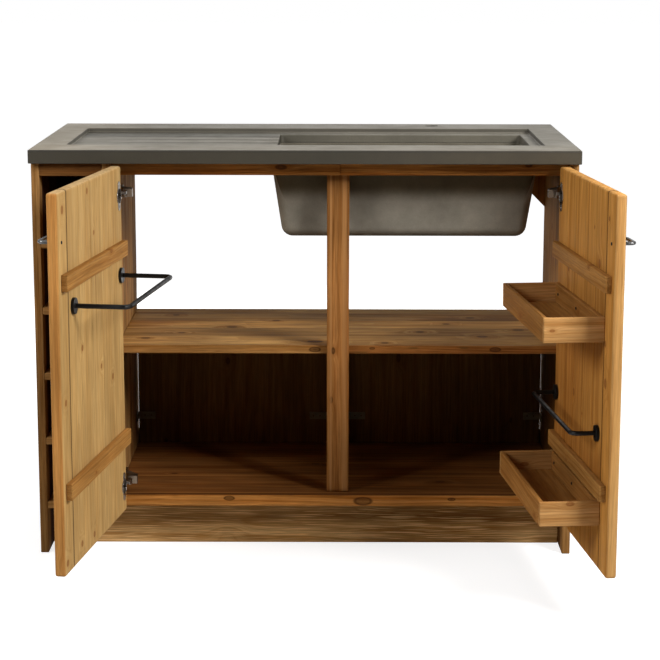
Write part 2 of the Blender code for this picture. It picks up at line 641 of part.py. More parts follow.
def make_hinge_arm(name, side, height, carrier):
    """A cranked arm on a plate screwed to the upright, with a nose that enters the cup."""
    wall_u = GAP - DOOR_SIDE_GAP
    plate_u = wall_u + PLATE_THICK
    body = [
        (plate_u / 2, ARM_BACK_V),
        (plate_u / 2, ARM_CRANK_V + ARM_LOW_U),
        (ARM_NEAR_U, ARM_CRANK_V),
        (ARM_NEAR_U, ARM_FRONT_V),
        (ARM_FAR_U, ARM_FRONT_V),
        (ARM_FAR_U, ARM_CRANK_V),
        (ARM_LOW_U, ARM_CRANK_V + 2 * ARM_LOW_U),
        (ARM_LOW_U, ARM_BACK_V),
    ]
    nose = [
        (ARM_NEAR_U, ARM_FRONT_V + PLATE_THICK),
        (ARM_NEAR_U, NOSE_TIP_V + PLATE_THICK),
        (ARM_NEAR_U + PLATE_THICK, NOSE_TIP_V),
        (ARM_NEAR_U + 2 * PLATE_THICK, NOSE_TIP_V),
        (ARM_NEAR_U + 3 * PLATE_THICK, ARM_FRONT_V + PLATE_THICK),
    ]
    low = height - ARM_HALF_HEIGHT
    high = height + ARM_HALF_HEIGHT
    arm = add_object(name, outline_mesh(name, [(side * u, v) for u, v in body], low, high), STEEL, parent=carrier)
    nose_mesh = outline_mesh(f"{name}_nose", [(side * u, v) for u, v in nose], height + NOSE_LOW, height + NOSE_HIGH)
    combine(arm, add_cutter(f"{name}_nose", nose_mesh, parent=carrier), "UNION")
    plate = box_mesh(f"{name}_plate", (PLATE_THICK, ARM_BACK_V - PLATE_FRONT_V, 2 * PLATE_HALF_HEIGHT))
    plate_at = (side * (wall_u + plate_u) / 2, (ARM_BACK_V + PLATE_FRONT_V) / 2 + PLATE_THICK, height)
    combine(arm, add_cutter(f"{name}_plate", plate, plate_at, carrier), "UNION")


def make_hinge_link(name, side, height, carrier):
    """A curved strap about the hinge line, hooked at its cup end."""
    centre = (0.0, 0.0)
    hook_deg = LINK_FROM_DEG + LINK_HOOK_DEG
    strap = arc(centre, LINK_OUTER_R, LINK_FROM_DEG, LINK_TO_DEG, 8)
    strap += arc(centre, LINK_INNER_R, LINK_TO_DEG, hook_deg, 7)
    strap += arc(centre, LINK_HOOK_R, hook_deg, LINK_FROM_DEG, 1)
    outline = [(side * u, v) for u, v in strap]
    link = outline_mesh(name, outline, height + LINK_LOW, height + LINK_HIGH)
    add_object(name, link, STEEL, parent=carrier)


def make_doorway(label, side, hinge_x, opened):
    """One door with its furniture and hinges, turned open about its hinge line."""
    at = (hinge_x, FRONT_Y, 0.0)
    fixed = empty(f"hinge_line_{label}", at)
    part_way = empty(f"link_line_{label}", at, -side * opened * LINK_SHARE)
    swung = empty(f"door_line_{label}", at, -side * opened)
    make_door(label, side, swung)
    make_door_metal(label, side, swung)
    for level, height in HINGE_Z.items():
        make_hinge_arm(f"hinge_arm_{label}_{level}", side, height, fixed)
        make_hinge_link(f"hinge_link_{label}_{level}", side, height, part_way)
        make_hinge_cup(f"hinge_cup_{label}_{level}", side, height, swung)
    return swung


make_worktop()
make_bowl()
make_carcass()
make_rack()
bracket_faces = ((PARTITION_RIGHT_X, 1), (STILE_X[0], -1), (STILE_X[1], 1), (INNER_X, -1))
for index, (face, direction) in enumerate(bracket_faces):
    make_bracket(index + 1, face, direction)
make_doorway("left", 1, PARTITION_RIGHT_X + DOOR_SIDE_GAP, OPEN_LEFT)
right_line = make_doorway("right", -1, INNER_X - DOOR_SIDE_GAP, OPEN_RIGHT)
for tray_level in TRAY_TOP_Z:
    make_tray(tray_level, -1, right_line)
bpy.context.view_layer.update()
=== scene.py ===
"""Looks of the sink base cabinet: stone, pine, iron and steel, its small screws, light and camera."""
import json
import math
import random

import bmesh
import bpy
from mathutils import Matrix, Vector


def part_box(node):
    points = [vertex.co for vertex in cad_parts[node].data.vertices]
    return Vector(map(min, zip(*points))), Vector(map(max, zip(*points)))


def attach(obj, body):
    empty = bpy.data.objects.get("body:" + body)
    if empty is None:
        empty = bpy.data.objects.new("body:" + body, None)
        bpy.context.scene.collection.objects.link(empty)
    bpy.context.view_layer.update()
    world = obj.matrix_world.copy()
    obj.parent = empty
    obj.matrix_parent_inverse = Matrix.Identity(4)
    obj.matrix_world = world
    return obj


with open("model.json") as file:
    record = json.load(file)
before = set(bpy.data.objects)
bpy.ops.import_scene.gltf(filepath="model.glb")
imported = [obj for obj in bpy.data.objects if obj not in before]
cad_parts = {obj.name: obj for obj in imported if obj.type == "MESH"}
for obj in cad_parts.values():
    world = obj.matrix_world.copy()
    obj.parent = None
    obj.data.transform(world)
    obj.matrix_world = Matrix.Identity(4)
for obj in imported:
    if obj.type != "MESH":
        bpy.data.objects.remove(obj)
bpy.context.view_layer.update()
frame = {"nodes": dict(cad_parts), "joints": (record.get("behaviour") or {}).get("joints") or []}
nodes = frame["nodes"]

# Camera: focal length in pixels of a square picture, then where it stands and looks
PICTURE = 660
FOCAL_PX = 1998.79
SENSOR_MM = 36.0
EYE = Vector((0.0675, -4.4264, 1.3525))
YAW, PITCH, ROLL = -0.00286, 0.19132, 0.00172

# Lamps: azimuth from the front towards the right, elevation, width, height and power
LAMPS = {
    "key_right": (48, 33, 1.0, 1.0, 100.0),
    "fill_left": (-48, 29, 1.0, 1.0, 44.0),
    "backdrop": (180, 15, 2.0, 2.0, 61.0),
    "overhead": (0, 85, 2.0, 2.0, 17.0),
}
LAMP_AIM = Vector((0.05, 0.1, 0.45))
LAMP_DISTANCE = 3.2
AMBIENT = 0.03

# Reflections: how bright the room in front is, and where the white backdrop starts and is full
ROOM = 0.10
BACKDROP_STARTS, BACKDROP_FULL = -0.15, 0.30

# Floor: reach, how far it lies below the feet, grey, and its glow close by and far off
FLOOR_REACH = 30.0
FLOOR_DROP = 0.0005
FLOOR_GREY = 0.51
GLOW_CLOSE, GLOW_FAR = 0.78, 1.0
GLOW_CLOSE_M, GLOW_FAR_M = 0.8, 2.2

# Doors: the joint that swings each, its side of the hinge line, and sizes
SWING = {joint["name"]: joint for joint in frame["joints"]}
DOOR_SIDE = {"left": 1, "right": -1}
DOOR_THICK = 0.0225
DOOR_WIDTH = 0.498
DOOR_BOARD = 0.0868
EDGE_BOARD_U = 0.434

# Pine, as the mean colour of each kind of piece
DOOR_LEFT = (0.530, 0.322, 0.117)
DOOR_RIGHT = (0.540, 0.250, 0.055)
DOOR_OUT = (0.500, 0.275, 0.090)
BATTEN = (0.400, 0.190, 0.050)
TRAY = (0.325, 0.145, 0.037)
TRAY_END = (0.465, 0.240, 0.082)
PANEL = (0.300, 0.150, 0.048)
SHELF = (0.375, 0.194, 0.058)
FLOOR_BOARD = (0.190, 0.072, 0.018)
FLOOR_PALE = (0.36, 0.155, 0.043)
STILE = (0.325, 0.133, 0.035)
STILE_PALE = (0.42, 0.21, 0.075)
RAIL = (0.320, 0.124, 0.027)
# Rack top rail: the rail's pine darkened as painted shade under the worktop
SHADED_RACK_RAIL = (0.135, 0.053, 0.013)
# Kick board: pale brushed pine, set lighter still as painted light that the lamps don't bring under
# the bottom board
KICK = (0.600, 0.335, 0.122)
BACK = (0.136, 0.064, 0.018)
KNOT = (0.050, 0.018, 0.006)
KNOT_SOFT = (0.230, 0.080, 0.020)

# Pine, as what makes a colour lighter, darker, flecked, brushed pale or hollow, and worn
LIGHTER = (0.13, 0.19, 0.28)
DARKER = (0.23, 0.32, 0.43)
FLECKED = (0.42, 0.36, 0.30)
BRUSHED_PALE = (1.55, 1.75, 2.15)
BRUSHED_HOLLOW = (0.55, 0.52, 0.48)
WORN = (1.25, 1.30, 1.35)

# Pine, as how dense each layer of its grain is across the piece and along it
DRIFT = (7.0, 0.9)
FIBRE = (340.0, 13.0)
FLECK = (210.0, 17.0)
STREAK = (70.0, 3.2)
COMB = (460.0, 8.0)
PATCH, PATCH_ALONG = 9.0, 0.45
BAND_SCALE = 95.0
YEARS_PER_M = 190.0
RING_DRIFT = 0.055
SEAM_HALF = 0.0012
GRAIN_RELIEF = 0.0006

# Knots: across the piece, along it, and radius
DOOR_KNOTS = {
    "left": (
        (0.338, 0.540, 0.006), (0.193, 0.472, 0.005), (0.100, 0.430, 0.006), (0.467, 0.454, 0.006),
        (0.314, 0.246, 0.003), (0.371, 0.135, 0.006), (0.276, 0.127, 0.006), (0.480, 0.127, 0.007),
        (0.056, 0.252, 0.005), (0.279, 0.855, 0.005), (0.232, 0.763, 0.004), (0.463, 0.840, 0.007),
    ),
    "right": (
        (0.449, 0.823, 0.005), (0.379, 0.723, 0.007), (0.106, 0.669, 0.004), (0.182, 0.416, 0.007),
        (0.261, 0.387, 0.004), (0.452, 0.493, 0.008), (0.443, 0.572, 0.006), (0.330, 0.790, 0.003),
    ),
}
DOOR_KNOT_SWELL = 1.3
SHELF_KNOTS = (
    (0.066, -0.368, 0.008), (0.355, -0.320, 0.009), (0.202, -0.177, 0.011), (0.030, 0.021, 0.013),
    (0.145, 0.264, 0.010), (0.324, 0.392, 0.009), (0.172, 0.495, 0.011), (0.014, 0.179, 0.009),
    (0.245, 0.330, 0.008), (0.090, 0.405, 0.010), (0.285, -0.075, 0.008), (0.130, -0.290, 0.007),
)
STILE_KNOTS = ((0.062, 0.455, 0.005), (0.058, 0.342, 0.004))
FLOOR_KNOTS = ((0.05, 0.31, 0.006), (0.12, -0.31, 0.005), (0.21, 0.02, 0.006))
KICK_KNOTS = ((0.024, -0.179, 0.009), (0.004, 0.419, 0.008), (0.070, 0.130, 0.005))
SCATTER_RADIUS = (0.003, 0.007)

# Knots on a front edge: up from the middle of the edge, along it, and radius
FLOOR_EDGE_KNOTS = ((0.006, -0.172, 0.006), (-0.001, 0.130, 0.010), (0.004, 0.330, 0.004))
SHELF_EDGE_KNOTS = ((0.003, 0.150, 0.003), (0.001, 0.427, 0.006), (0.000, 0.021, 0.006))
EDGE_KNOT_LENGTH = 2.2


class Graph:
    """Short ways to add shader nodes to one material."""

    def __init__(self, name):
        self.material = bpy.data.materials.new(name)
        self.material.use_nodes = True
        self.tree = self.material.node_tree
        self.shader = self.tree.nodes["Principled BSDF"]

    def put(self, socket, value):
        """Link a socket, or set it."""
        if isinstance(value, bpy.types.NodeSocket):
            self.tree.links.new(value, socket)
        elif socket.type == "RGBA":
            socket.default_value = (*value, 1.0)
        else:
            socket.default_value = value

    def node(self, kind, inputs=(), **settings):
        """Add a node, with its settings and inputs."""
        made = self.tree.nodes.new("ShaderNode" + kind)
        for key, value in settings.items():
            setattr(made, key, value)
        for key, value in dict(inputs).items():
            self.put(made.inputs[key], value)
        return made

    def math(self, operation, *values):
        return self.node("Math", enumerate(values), operation=operation).outputs[0]

    def add(self, first, *others):
        for other in others:
            first = self.math("ADD", first, other)
        return first

    def times(self, first, *others):
        for other in others:
            first = self.math("MULTIPLY", first, other)
        return first

    def combine(self, x, y, z):
        return self.node("CombineXYZ", {0: x, 1: y, 2: z}).outputs[0]

    def noise(self, vector, scale, detail=2.0, rough=0.5):
        inputs = {"Vector": vector, "Scale": scale, "Detail": detail, "Roughness": rough}
        return self.node("TexNoise", inputs).outputs[0]

    def spread(self, value, low, high, to_low=0.0, to_high=1.0, kind="SMOOTHSTEP"):
        """Carry a value from one range to another."""
        inputs = {0: value, 1: low, 2: high, 3: to_low, 4: to_high}
        return self.node("MapRange", inputs, interpolation_type=kind).outputs[0]

    def blend(self, factor, first, second):
        made = self.node("Mix", data_type="RGBA")
        for key, value in (("Factor_Float", factor), ("A_Color", first), ("B_Color", second)):
            self.put(next(s for s in made.inputs if s.identifier == key), value)
        return next(s for s in made.outputs if s.identifier == "Result_Color")

    def vectors(self, operation, first, second):
        return self.node("VectorMath", {0: first, 1: second}, operation=operation).outputs

    def scale(self, colour, factor):
        """Make a colour lighter or darker by a factor that varies over the surface."""
        return self.node("VectorMath", {0: colour, "Scale": factor}, operation="SCALE").outputs[0]

    def tint(self, colour, factors):
        return self.vectors("MULTIPLY", colour, factors)[0]

    def apart(self, *gaps):
        """Squared distance from a spot, each axis given as value, spot and unit."""
        total = 0.0
        for value, spot, unit in gaps:
            gap = self.times(self.math("SUBTRACT", value, spot), 1.0 / unit)
            total = self.math("MULTIPLY_ADD", gap, gap, total)
        return total

    def zone(self, split, bounds):
        """Where a surface lies in a zone: for each axis, where the zone starts and is full."""
        inside = 1.0
        for axis, starts, full in bounds:
            inside = self.times(self.spread(split[axis], starts, full), inside)
        return inside

    def ramp(self, factor, stops):
        made = self.node("ValToRGB", {0: factor})
        points = made.color_ramp.elements
        while len(points) < len(stops):
            points.new(1.0)
        for point, (at, colour) in zip(points, stops):
            point.position = at
            point.color = (*colour, 1.0)
        return made.outputs[0]

    def bump(self, height, strength, distance, normal):
        inputs = {"Strength": strength, "Distance": distance, "Height": height, "Normal": normal}
        return self.node("Bump", inputs).outputs[0]

    def edge(self, radius, low=0.86, high=0.995):
        """How near a sharp edge is, and the normal of the same edge rounded over."""
        rounded = self.node("Bevel", {"Radius": radius}, samples=4).outputs[0]
        true = self.node("NewGeometry").outputs["True Normal"]
        same = self.vectors("DOT_PRODUCT", rounded, true)["Value"]
        return self.spread(same, high, low), rounded

    def surface(self, **inputs):
        for key, value in inputs.items():
            self.put(self.shader.inputs[key.replace("_", " ")], value)
        return self.material


def tinted(colour, factors):
    return [min(1.0, c * f) for c, f in zip(colour, factors)]


def wood(name, tone, axes, seed, place=((0, 0, 0), 0.0), staves=0.0, knots=(), contrast=1.0,
         seams=0.5, stave_range=0.20, lines=(), wear=0.25, edge=0.0022, brushed=0.0, flecks=0.3,
         zones=(), edge_knots=(), knot_shade=1.0, knot_tone=KNOT, knot_length=2.0, gloss=0.03):
    """Pine with growth rings, fibres, knots, glued staves and worn edges.

    Axes name the directions across the face, through it and along the grain. Place is the
    origin and turn of the piece. Lines run along the grain: where across it, half width,
    strength and colour. Zones have another tint: the tint, and for each axis where the zone
    starts and is full. Edge knots lie in the first zone, given through the piece and along it.
    """
    g = Graph(name)
    rng = random.Random(seed)
    origin, turn = place
    light = tinted(tone, [1.0 + contrast * f for f in LIGHTER])
    dark = tinted(tone, [1.0 - contrast * f for f in DARKER])
    coords = g.node("TexCoord").outputs["Object"]
    mapping = {"Vector": coords, "Location": origin, "Rotation": (0.0, 0.0, turn)}
    local = g.node("Mapping", mapping, vector_type="TEXTURE").outputs[0]
    split = g.node("SeparateXYZ", {0: local}).outputs
    across, through, along = (split[axis] for axis in axes)
    lengthwise = along
    shift = rng.uniform(1.0, 40.0)

    # Staves: each has its own shade and its own place in the tree
    shade = None
    start = g.add(across, rng.uniform(-0.05, 0.05))
    lift = rng.uniform(0.02, 0.06)
    if staves:
        place_in = g.math("DIVIDE", across, staves)
        inside = g.math("FRACT", place_in)
        index = g.add(g.math("FLOOR", place_in), shift)
        picked = g.node("TexWhiteNoise", {"W": index}, noise_dimensions="1D").outputs
        hues = g.node("SeparateXYZ", {0: picked["Color"]}).outputs
        shade = g.spread(picked["Value"], 0.0, 1.0, 1.0 - stave_range, 1.0 + stave_range, "LINEAR")
        start = g.times(g.math("SUBTRACT", inside, hues[0]), staves)
        lift = g.math("MULTIPLY_ADD", hues[1], 0.06, 0.012)
        along = g.math("MULTIPLY_ADD", hues[2], 3.0, along)
        seam = g.math("ABSOLUTE", g.math("SUBTRACT", inside, 0.5))
        seam = g.times(g.spread(seam, 0.5 - SEAM_HALF / staves, 0.5), seams)

    # Knots push the growth rings aside
    bulge = near_knot = None
    for at, spot, radius in knots:
        length = radius * knot_length * rng.uniform(0.8, 1.2)
        apart = g.apart((across, at, radius), (lengthwise, spot, length))
        push = g.times(g.math("EXPONENT", g.times(apart, -0.16)), radius * 1.6)
        bulge = push if bulge is None else g.add(bulge, push)
        near_knot = apart if near_knot is None else g.math("MINIMUM", near_knot, apart)

    def stretched(dense, slow, sideways=None):
        """A place in the grain, dense across it and slow along it."""
        first = g.times(across, dense) if sideways is None else sideways
        return g.combine(first, g.times(through, dense), g.math("MULTIPLY_ADD", along, slow, shift))

    # Growth rings, fibres, flecks, streaks and patches
    drift = stretched(*DRIFT)
    deep = g.add(through, lift)
    ring = g.math("SQRT", g.add(g.times(start, start), g.times(deep, deep)))
    ring = g.math("MULTIPLY_ADD", g.noise(drift, 1.0), RING_DRIFT, ring)
    if bulge is not None:
        ring = g.add(ring, bulge)
    inputs = {"W": g.add(ring, shift), "Scale": BAND_SCALE, "Detail": 3.0, "Roughness": 0.62}
    bands = g.node("TexNoise", inputs, noise_dimensions="1D").outputs[0]
    year = g.math("FRACT", g.times(ring, YEARS_PER_M))
    late = g.times(g.spread(year, 0.35, 0.96), g.spread(year, 1.0, 0.965))
    fibre = g.noise(stretched(*FIBRE), 1.0, 3.0, 0.65)
    fleck = g.spread(g.noise(stretched(*FLECK), 1.0, 1.0), 0.66, 0.76)
    streak = g.noise(stretched(*STREAK), 1.0, 3.0, 0.55)
    slow_place = g.combine(across, through, g.math("MULTIPLY_ADD", along, PATCH_ALONG, shift))
    patch = g.noise(slow_place, PATCH, 3.0)

    # Colour
    mixed = g.math("MULTIPLY_ADD", bands, 0.55, g.times(streak, 0.45))
    colour = g.ramp(mixed, ((0.37, dark), (0.49, tone), (0.60, light)))
    colour = g.blend(g.times(late, 0.35), colour, dark)
    shades = [g.spread(fibre, 0.30, 0.70, 1.0 - 0.24 * contrast, 1.0 + 0.19 * contrast, "LINEAR")]
    shades.append(g.spread(patch, 0.30, 0.70, 1.0 - 0.14 * contrast, 1.0 + 0.12 * contrast))
    if shade is not None:
        shades.append(shade)
    colour = g.scale(colour, g.times(*shades))
    for tint, bounds in zones:
        colour = g.blend(g.zone(split, bounds), colour, g.tint(colour, tint))
    colour = g.blend(g.times(fleck, flecks), colour, tinted(tone, FLECKED))
    height = g.math("MULTIPLY_ADD", late, 0.5, fibre)
    if brushed:
        wave = g.math("MULTIPLY_ADD", g.noise(drift, 2.5), 12.0, g.times(across, COMB[0]))
        combed = g.noise(stretched(*COMB, sideways=wave), 1.0, 2.0, 0.5)
        pale = g.times(g.spread(combed, 0.55, 0.64), brushed)
        colour = g.blend(pale, colour, tinted(tone, BRUSHED_PALE))
        hollow = g.times(g.spread(combed, 0.45, 0.36), 0.6 * brushed)
        colour = g.blend(hollow, colour, tinted(tone, BRUSHED_HOLLOW))
    if near_knot is not None:
        colour = g.blend(g.spread(near_knot, 5.0, 0.6, 0.0, 0.5 * knot_shade), colour, dark)
        rings = g.math("FRACT", g.times(near_knot, 3.0))
        ringed = g.times(g.math("MULTIPLY_ADD", rings, 0.35, 0.60), knot_shade)
        colour = g.blend(g.times(g.spread(near_knot, 1.15, 0.55), ringed), colour, knot_tone)
    for at, spot, radius in edge_knots:
        apart = g.apart((through, at, radius), (lengthwise, spot, radius * EDGE_KNOT_LENGTH))
        apart = g.math("MULTIPLY_ADD", streak, 0.8, apart)
        rim = g.times(g.spread(apart, 0.55, 0.95), g.spread(apart, 1.7, 1.1))
        core = g.math("MAXIMUM", g.spread(apart, 1.3, 0.8, 0.0, 0.62), g.times(rim, 0.80))
        core = g.math("MAXIMUM", core, g.spread(apart, 0.55, 0.40, 0.0, 0.75))
        colour = g.blend(g.times(core, g.zone(split, zones[0][1])), colour, knot_tone)
    if staves:
        colour = g.blend(seam, colour, KNOT)
        height = g.math("SUBTRACT", height, g.times(seam, 2.0))
    for at, half, strength, shown in lines:
        line = g.math("ABSOLUTE", g.math("SUBTRACT", across, at))
        line = g.spread(line, 1.5 * half, 0.5 * half)
        colour = g.blend(g.times(line, strength), colour, shown)

    # Worn edges, and relief of the grain
    worn, rounded = g.edge(edge)
    colour = g.blend(g.times(worn, wear), colour, tinted(light, WORN))
    rough = g.spread(fibre, 0.25, 0.75, 0.55, 0.75, "LINEAR")
    normal = g.bump(height, 0.22 + 0.3 * brushed, GRAIN_RELIEF, rounded)
    return g.surface(Base_Color=colour, Roughness=rough, Specular_IOR_Level=gloss, Normal=normal)


def stone(name, base, rough, shine, blotch, seed, zones=(), inside=None):
    """Cast stone with cloudy blotches, fine grit, pin holes and rubbed edges.

    Zones have another tint: the tint, and for each axis where the zone starts and is full.
    The inside of a hollow may have a tint too: the middle of the hollow, and the tint.
    """
    g = Graph(name)
    coords = g.node("TexCoord").outputs["Object"]
    moved = g.node("Mapping", {"Vector": coords, "Location": (seed, seed, seed)}).outputs[0]
    cloud = g.noise(moved, 5.0, 5.0, 0.62)
    drift = g.noise(moved, 21.0, 4.0, 0.6)
    grit = g.noise(moved, 520.0, 2.0, 0.6)
    cells = g.node("TexVoronoi", {"Vector": moved, "Scale": 95.0}).outputs["Distance"]
    holes = g.times(g.spread(cells, 0.13, 0.05), g.spread(drift, 0.52, 0.60))
    clouds = g.math("MULTIPLY_ADD", cloud, 0.62, g.times(drift, 0.38))
    low = [c * (1.0 - blotch) for c in base]
    high = [c * (1.0 + blotch) for c in base]
    colour = g.ramp(clouds, ((0.34, low), (0.50, base), (0.66, high)))
    colour = g.scale(colour, g.spread(grit, 0.25, 0.75, 0.90, 1.10, "LINEAR"))
    colour = g.blend(g.times(holes, 0.6), colour, [c * 0.35 for c in base])
    place = g.node("SeparateXYZ", {0: coords}).outputs
    for tint, bounds in zones:
        colour = g.blend(g.zone(place, bounds), colour, g.tint(colour, tint))
    if inside is not None:
        middle, tint = inside
        outward = g.vectors("SUBTRACT", coords, middle)[0]
        true = g.node("NewGeometry").outputs["True Normal"]
        facing = g.vectors("DOT_PRODUCT", outward, true)["Value"]
        colour = g.blend(g.spread(facing, 0.004, -0.004), colour, g.tint(colour, tint))
    worn, rounded = g.edge(0.004)
    colour = g.blend(g.times(worn, 0.22), colour, [c * 1.6 for c in base])
    gloss = g.spread(clouds, 0.36, 0.64, rough + 0.07, rough - 0.07)
    height = g.math("SUBTRACT", g.math("MULTIPLY_ADD", drift, 1.5, grit), g.times(holes, 3.0))
    normal = g.bump(height, 0.05, 0.0006, rounded)
    return g.surface(Base_Color=colour, Roughness=gloss, Specular_IOR_Level=shine, Normal=normal)


def metal(name, base, rough, shine, metallic, grain, seed):
    """Coated or plated metal with uneven gloss and a fine skin."""
    g = Graph(name)
    coords = g.node("TexCoord").outputs["Object"]
    moved = g.node("Mapping", {"Vector": coords, "Location": (seed, seed, seed)}).outputs[0]
    smear = g.noise(moved, 40.0, 4.0, 0.6)
    skin = g.noise(moved, grain, 2.0, 0.5)
    colour = g.ramp(smear, ((0.35, [c * 0.80 for c in base]), (0.65, [c * 1.18 for c in base])))
    worn, rounded = g.edge(0.0012, low=0.80)
    colour = g.blend(g.times(worn, 0.25), colour, [min(1.0, c * 2.2) for c in base])
    gloss = g.spread(smear, 0.35, 0.65, rough - 0.08, rough + 0.10)
    normal = g.bump(skin, 0.12, 0.0004, rounded)
    return g.surface(Base_Color=colour, Roughness=gloss, Specular_IOR_Level=shine,
                     Metallic=metallic, Normal=normal)


def dress(name, finish):
    """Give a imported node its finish."""
    nodes[name].data.materials.clear()
    nodes[name].data.materials.append(finish)


def hinge_place(label):
    """Where a door's own axes start, and their turn: X along the door, Y through it, Z up."""
    swing = SWING[f"door_{label}_swing"]
    x, y, _ = swing["pos_m"]
    return (x, y, 0.0), -DOOR_SIDE[label] * math.radians(swing["range_deg"][1])


def local_box(name, place):
    """Low and high corner of a node in its own axes."""
    turned = Matrix.Rotation(place[1], 4, "Z")
    turned.translation = place[0]
    spots = [turned.inverted() @ v.co for v in nodes[name].data.vertices]
    return [min(s[a] for s in spots) for a in range(3)], [max(s[a] for s in spots) for a in range(3)]


def scatter(name, axes, count, seed, place=((0, 0, 0), 0.0)):
    """Seeded knots over a node's face: across, along and radius."""
    rng = random.Random(seed)
    low, high = local_box(name, place)
    ranges = [(low[axes[0]], high[axes[0]]), (low[axes[2]], high[axes[2]]), SCATTER_RADIUS]
    return [tuple(rng.uniform(*ends) for ends in ranges) for _ in range(count)]


def near(axis, plane, starts, full):
    """A bound of a zone, by how far from a plane the zone starts and is full."""
    return axis, plane + starts, plane + full


# Axes of a piece: across its face, through it and along its grain
X, Y, Z = 0, 1, 2
UPRIGHT_SIDE = (Y, X, Z)
UPRIGHT_FACE = (X, Y, Z)
LEVEL_FACE = (Z, Y, X)
LEVEL_TOP = (Y, Z, X)
DEEP_FACE = (Z, X, Y)

# The skin of a face that lies at the low end of a piece, or at its high end
LOW_SKIN = (0.003, 0.001)
HIGH_SKIN = (-0.003, -0.001)

# Worktop: its sunk wet area, bowl opening, tap hole and drainer grooves
(TOP_LEFT, TOP_FRONT, TOP_UNDER), (TOP_RIGHT, TOP_BACK, TOP_Z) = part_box("worktop")
WET_Z = TOP_Z - 0.0105
WET_BACK = TOP_BACK - 0.127
BOWL_X = -0.066
TAP_X, TAP_Y = 0.301, TOP_BACK - 0.050
GROOVE_MIDDLE_Y = TOP_FRONT + 0.3065
GROOVE_PITCH = 0.072
GROOVES_START = (X, -0.50, -0.38)
SEALED_STONE = (0.180, 0.163, 0.128)
FACE_TINT = (0.205, 0.185, 0.145)
# Painted shade: the tint of the strips along the drainer grooves
GROOVE_SHADE = (0.66, 0.65, 0.62)
INSIDE = (near(X, TOP_LEFT, 0.05, 0.06), near(X, TOP_RIGHT, -0.05, -0.06),
          near(Y, TOP_FRONT, 0.05, 0.06), near(Y, TOP_BACK, -0.05, -0.06))
NEAR_TAP = (near(X, TAP_X, -0.030, -0.022), near(X, TAP_X, 0.030, 0.022),
            near(Y, TAP_Y, -0.030, -0.022), near(Y, TAP_Y, 0.030, 0.022))
ON_TOP = near(Z, TOP_Z, -0.0012, -0.0004)
BELOW_TOP = near(Z, TOP_Z, -0.0004, -0.0012)
WET_FLOOR = near(Z, WET_Z, 0.0020, 0.0010)
BESIDE_BOWL = near(X, BOWL_X, 0.002, -0.001)
FRONT_FACE = near(Y, TOP_FRONT, *LOW_SKIN)
GROOVES_Y = [GROOVE_MIDDLE_Y + GROOVE_PITCH * step for step in (-1.5, -0.5, 0.5, 1.5)]
# Painted shade in strips along each drainer groove
GROOVE_SHADE_LINES = [
    (GROOVE_SHADE, (near(Y, y, -0.018, -0.006), near(Y, y, 0.018, 0.006),
                   GROOVES_START, BESIDE_BOWL, WET_FLOOR))
    for y in GROOVES_Y
]
# Painted shade at the back of the drainer floor
DRAINER_BACK_SHADE = (near(Y, WET_BACK, -0.150, -0.070), near(X, BOWL_X, 0.16, -0.08))
WORKTOP_ZONES = (
    # painted shade on the wall of the wet area, painted shade at the back of the drainer, painted
    # shade in lines along the grooves, drainer, painted shade in the grooves
    ((0.42, 0.41, 0.39), (BELOW_TOP, near(Z, WET_Z, -0.0005, 0.0040), *INSIDE)),
    ((0.45, 0.45, 0.42), (*DRAINER_BACK_SHADE, WET_FLOOR, *INSIDE)),
    *GROOVE_SHADE_LINES,
    ((0.96, 0.95, 0.92), (WET_FLOOR, BESIDE_BOWL, *INSIDE)),
    ((0.20, 0.19, 0.17), (near(Z, WET_Z, -0.0001, -0.0006), BESIDE_BOWL, *INSIDE)),
    # painted light: the left rim and the front rim of the top made lighter
    ((1.54, 1.47, 1.40), (near(X, TOP_LEFT, 0.300, 0.010), ON_TOP)),
    ((1.09, 1.06, 1.02), (near(Y, TOP_FRONT, 0.180, 0.050), ON_TOP)),
    # outer faces and underside
    (FACE_TINT, (FRONT_FACE,)),
    (FACE_TINT, (near(Y, TOP_BACK, *HIGH_SKIN),)),
    (FACE_TINT, (near(X, TOP_LEFT, *LOW_SKIN),)),
    (FACE_TINT, (near(X, TOP_RIGHT, *HIGH_SKIN),)),
    (FACE_TINT, (near(Z, TOP_UNDER, 0.0006, 0.0002),)),
    # wall of the bowl opening, painted shade in the tap hole
    ((0.66, 0.65, 0.61), (near(Z, WET_Z, -0.0005, -0.0025), near(X, BOWL_X, -0.002, 0.0), *INSIDE)),
    ((0.08, 0.08, 0.08), (near(Z, TOP_Z, -0.0005, -0.0020), *NEAR_TAP)),
    # painted shade and light on the front face: darker left part, lighter right part, darker upper
    # edge
    ((0.77, 0.77, 0.71), ((X, 0.25, 0.05), FRONT_FACE)),
    ((1.30, 1.26, 1.20), ((X, 0.20, 0.45), FRONT_FACE)),
    ((0.62, 0.62, 0.64), (near(Z, TOP_Z, -0.006, -0.003), FRONT_FACE)),
)
dress("worktop", stone("sealed_stone", SEALED_STONE, rough=0.58, shine=0.40, blotch=0.16, seed=3.0,
                       zones=WORKTOP_ZONES))

# Bowl: painted shadow of the worktop on its upper part, and darker at its foot and inside
(_, BOWL_FRONT_Y, BOWL_FOOT_Z), (_, _, BOWL_TOP_Z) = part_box("sink_bowl")
RAW_STONE = (0.218, 0.198, 0.158)
WORKTOP_SHADOW_ON_BOWL = ((0.38, 0.33, 0.24), (near(Z, BOWL_TOP_Z, -0.105, -0.060),
                                  near(Y, BOWL_FRONT_Y, 0.0150, 0.0138)))
BOWL_FOOT = ((0.72, 0.70, 0.66), (near(Z, BOWL_FOOT_Z, 0.022, 0.002),))
BOWL_MIDDLE = [(low + high) / 2 for low, high in zip(*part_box("sink_bowl"))]
BOWL_INSIDE = (BOWL_MIDDLE, (0.60, 0.58, 0.54))
dress("sink_bowl", stone("raw_stone", RAW_STONE, rough=0.66, shine=0.06, blotch=0.24, seed=8.0,
                         zones=(WORKTOP_SHADOW_ON_BOWL, BOWL_FOOT), inside=BOWL_INSIDE))
